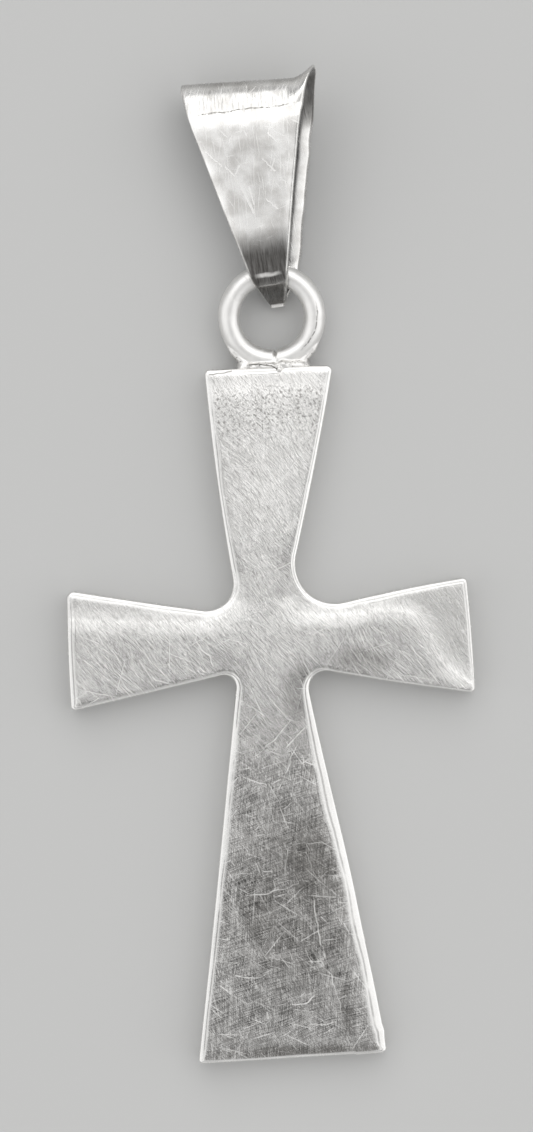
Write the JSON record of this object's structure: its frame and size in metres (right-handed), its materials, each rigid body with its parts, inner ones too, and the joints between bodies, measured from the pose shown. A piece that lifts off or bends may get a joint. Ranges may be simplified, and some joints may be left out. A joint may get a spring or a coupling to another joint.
{
  "type": "cross pendant",
  "caption": "Flared silver cross pendant, lying on its back, with a soldered ring and a folded strap bail for a chain or cord.",
  "frame": {"origin": "middle of the outline, bail included, on the surface that the back lies on", "axes": "+X to the right as seen from the front, +Y up the cross to the bail, +Z out of the front face"},
  "size_m": [0.026, 0.0628, 0.0056],
  "materials": {
    "cast_silver": "polished by hand and worn, with fine scratches",
    "strap_silver": "polished sheet, scratched along its length"
  },
  "bodies": {
    "root": {"cross": "cast_silver", "bail": "strap_silver"}
  },
  "joints": []
}
